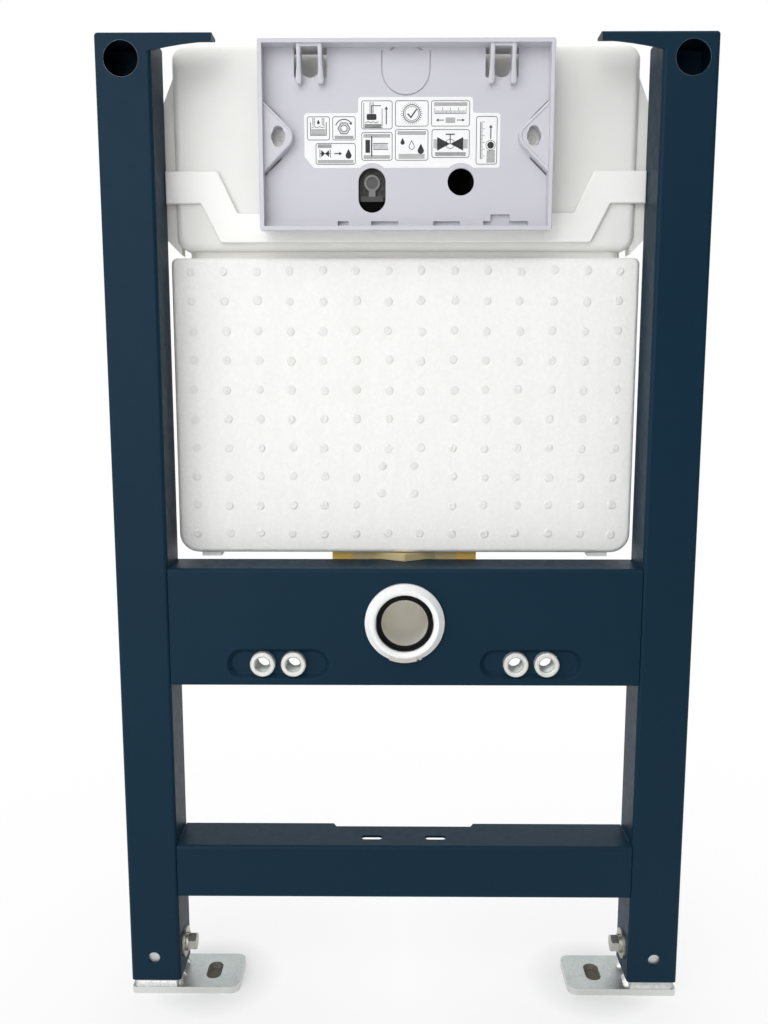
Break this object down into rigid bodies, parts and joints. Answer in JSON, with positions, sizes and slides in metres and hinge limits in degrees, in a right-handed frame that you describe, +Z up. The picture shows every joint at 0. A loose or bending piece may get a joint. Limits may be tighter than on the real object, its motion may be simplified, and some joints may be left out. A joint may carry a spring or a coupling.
{
  "type": "wall hung toilet frame",
  "caption": "Floor standing in-wall frame for a wall hung toilet, with telescopic feet, a cistern in a foam jacket, an inspection box and a flush outlet.",
  "frame": {"origin": "on the floor, under the middle of the frame's width and depth", "axes": "+Z up, +Y back towards the wall behind the frame, +X to the right seen from the front"},
  "size_m": [0.464, 0.1386, 0.779],
  "materials": {
    "frame_coating": "satin navy powder coat",
    "zinc": "bright zinc plate",
    "sleeve_zinc": "pale passivated zinc, matt",
    "tank_plastic": "natural blow moulded plastic",
    "strap_plastic": "natural plastic, satin",
    "foam": "white expanded bead foam, matt",
    "box_plastic": "pale grey satin plastic",
    "lever_plastic": "grey plastic",
    "nut_plastic": "pale amber translucent plastic",
    "pipe_plastic": "natural plastic",
    "collar_plastic": "white gloss",
    "seal_rubber": "black rubber"
  },
  "bodies": {
    "frame": {"left_post": "frame_coating", "right_post": "frame_coating", "upper_crossbar": "frame_coating", "lower_crossbar": "frame_coating", "left_washer": "zinc", "right_washer": "zinc", "left_spring_washer": "zinc", "right_spring_washer": "zinc", "left_clamp_bolt": "zinc", "right_clamp_bolt": "zinc", "left_outer_sleeve": "sleeve_zinc", "left_inner_sleeve": "sleeve_zinc", "right_inner_sleeve": "sleeve_zinc", "right_outer_sleeve": "sleeve_zinc", "cistern_tank": "tank_plastic", "tank_strap": "strap_plastic", "foam_jacket": "foam", "inspection_box": "box_plastic", "left_box_clip": "box_plastic", "right_box_clip": "box_plastic", "left_box_lug": "box_plastic", "right_box_lug": "box_plastic", "flush_lever": "lever_plastic", "outlet_nut": "nut_plastic", "flush_bend": "pipe_plastic", "flush_collar": "collar_plastic", "flush_seal": "seal_rubber"},
    "left_foot": {"left_leg": "zinc", "left_foot_plate": "zinc"},
    "right_foot": {"right_leg": "zinc", "right_foot_plate": "zinc"}
  },
  "joints": [
    {"name": "left_foot_slide", "type": "slide", "parent": "frame", "child": "left_foot", "axis": [0, 0, -1], "range_m": [0, 0.2]},
    {"name": "right_foot_slide", "type": "slide", "parent": "frame", "child": "right_foot", "axis": [0, 0, -1], "range_m": [0, 0.2]}
  ]
}
